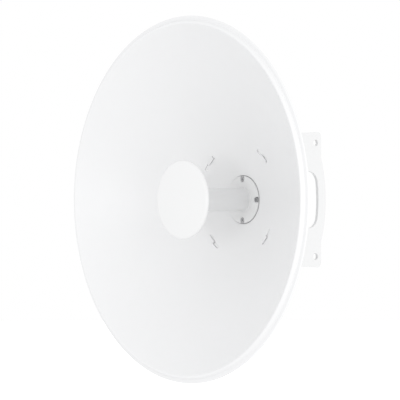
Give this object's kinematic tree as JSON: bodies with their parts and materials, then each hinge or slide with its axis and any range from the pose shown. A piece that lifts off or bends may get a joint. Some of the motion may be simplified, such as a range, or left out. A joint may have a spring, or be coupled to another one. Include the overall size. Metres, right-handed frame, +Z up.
{
  "type": "parabolic dish antenna",
  "caption": "Round white parabolic dish with a tube feed and disc sub-reflector in front, and a rear bracket with two windowed cheeks for a pole clamp.",
  "frame": {"origin": "on the outer face of the bracket's right cheek, in the middle of the strip behind its window, level with the boresight", "axes": "the dish looks along -Y, +Z is up, and +X points out of the right cheek"},
  "size_m": [0.65, 0.2703, 0.65],
  "materials": {
    "painted_aluminium": "satin powder coat",
    "painted_steel": "satin powder coat on thick plate",
    "white_plastic": "satin moulded",
    "cream_plastic": "machined low-loss plastic",
    "black_rubber": "matt",
    "bare_aluminium": "turned and brushed",
    "stainless": "satin",
    "connector_brass": "plated, satin"
  },
  "bodies": {
    "root": {"reflector": "painted_aluminium", "feed_casting": "white_plastic", "feed_gasket": "black_rubber", "feed_cone": "cream_plastic", "sub_reflector": "bare_aluminium", "sub_reflector_cover": "white_plastic", "flange_screw_top": "stainless", "flange_screw_right": "stainless", "flange_screw_bottom": "stainless", "flange_screw_left": "stainless", "flange_nut_top": "stainless", "flange_nut_right": "stainless", "flange_nut_bottom": "stainless", "flange_nut_left": "stainless", "hub_plate": "bare_aluminium", "bracket_channel": "painted_steel", "right_cheek": "painted_steel", "left_cheek": "painted_steel", "hook_upper_right": "painted_steel", "hook_upper_left": "painted_steel", "hook_lower_left": "painted_steel", "hook_lower_right": "painted_steel", "upper_right_cheek_bolt": "stainless", "lower_right_cheek_bolt": "stainless", "upper_left_cheek_bolt": "stainless", "lower_left_cheek_bolt": "stainless", "upper_right_cheek_nut": "stainless", "lower_right_cheek_nut": "stainless", "upper_left_cheek_nut": "stainless", "lower_left_cheek_nut": "stainless", "feed_housing": "white_plastic", "housing_lid": "white_plastic", "lid_screw_upper_right": "stainless", "lid_screw_upper_left": "stainless", "lid_screw_lower_left": "stainless", "lid_screw_lower_right": "stainless", "radio_connector_right": "connector_brass", "radio_connector_left": "connector_brass"}
  },
  "joints": []
}
